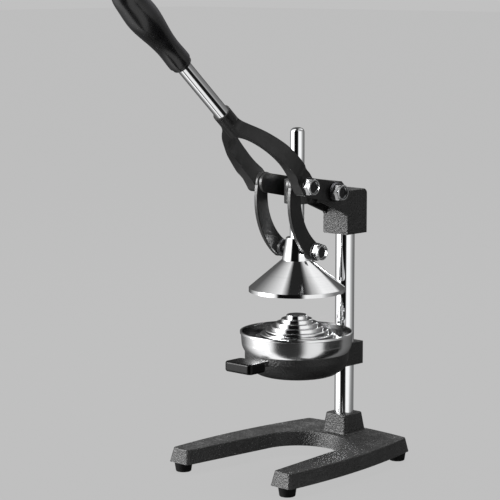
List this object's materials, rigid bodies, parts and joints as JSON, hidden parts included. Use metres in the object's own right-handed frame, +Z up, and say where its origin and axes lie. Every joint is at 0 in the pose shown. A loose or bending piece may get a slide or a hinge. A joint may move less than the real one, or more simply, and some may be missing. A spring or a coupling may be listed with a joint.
{
  "type": "hand lever citrus press",
  "caption": "Hand-lever juice press: horseshoe base, column, head, yoke lever with curved links, guided rod with cone, and a cup holder with funnel and stepped strainer.",
  "frame": {"origin": "on the floor, at the middle of the press's footprint with the lever raised", "axes": "+Z up, front (lever and cups) towards -Y, +X the press's own right side seen from behind the column"},
  "size_m": [0.189, 0.3891, 0.5465],
  "materials": {
    "cast_black": "wrinkle powder coat, satin",
    "chrome_bar": "polished chrome",
    "stainless": "polished stainless sheet",
    "bright_fasteners": "bright plated",
    "black_fasteners": "black oxide",
    "bronze_bush": "plain bronze",
    "grip_plastic": "satin-gloss moulded",
    "handle_plastic": "moulded, satin",
    "foot_rubber": "matt"
  },
  "bodies": {
    "frame": {"base": "cast_black", "rubber_feet": "foot_rubber", "foot_screws": "bright_fasteners", "column": "chrome_bar", "column_bolt": "bright_fasteners", "column_washer": "bright_fasteners", "head": "cast_black", "head_set_screws": "black_fasteners", "guide_bush": "bronze_bush", "head_pivot_bolt": "black_fasteners", "head_pivot_collars": "black_fasteners", "head_pivot_nut": "bright_fasteners"},
    "cup_carriage": {"cup_holder": "cast_black", "clamp_screw": "black_fasteners", "holder_handle": "handle_plastic", "handle_screw": "bright_fasteners", "juice_funnel": "stainless", "strainer_reamer": "stainless"},
    "lever": {"yoke": "cast_black", "rocker_plate_left": "cast_black", "rocker_plate_right": "cast_black", "yoke_bolts": "black_fasteners", "yoke_washer": "black_fasteners", "yoke_nut": "bright_fasteners", "lever_tube": "chrome_bar", "tube_pin": "bright_fasteners", "lever_grip": "grip_plastic"},
    "links": {"link_left": "cast_black", "link_right": "cast_black", "link_bolt": "black_fasteners", "link_washers": "black_fasteners", "link_spacers": "black_fasteners", "link_nut": "bright_fasteners"},
    "press": {"press_rod": "chrome_bar", "press_hub": "chrome_bar", "hub_pin": "bright_fasteners", "pressing_cone": "stainless", "cone_nut": "bright_fasteners"}
  },
  "joints": [
    {"name": "lever_swing", "type": "hinge", "parent": "frame", "child": "lever", "pos_m": [0, 0.1188, 0.3114], "axis": [1, 0, 0], "range_deg": [0, 45]},
    {"name": "link_swing", "type": "hinge", "parent": "lever", "child": "links", "pos_m": [0, 0.0518, 0.324], "axis": [1, 0, 0], "range_deg": [-51.4, 0]},
    {"name": "press_slide", "type": "slide", "parent": "frame", "child": "press", "axis": [0, 0, -1], "range_m": [0, 0.0542]},
    {"name": "cup_height", "type": "slide", "parent": "frame", "child": "cup_carriage", "axis": [0, 0, 1], "range_m": [-0.055, 0]}
  ],
  "couplings": [
    {"joint": "link_swing", "follows": "lever_swing", "ratio": -1.14},
    {"joint": "press_slide", "follows": "lever_swing", "m_per_rad": 0.0689}
  ]
}
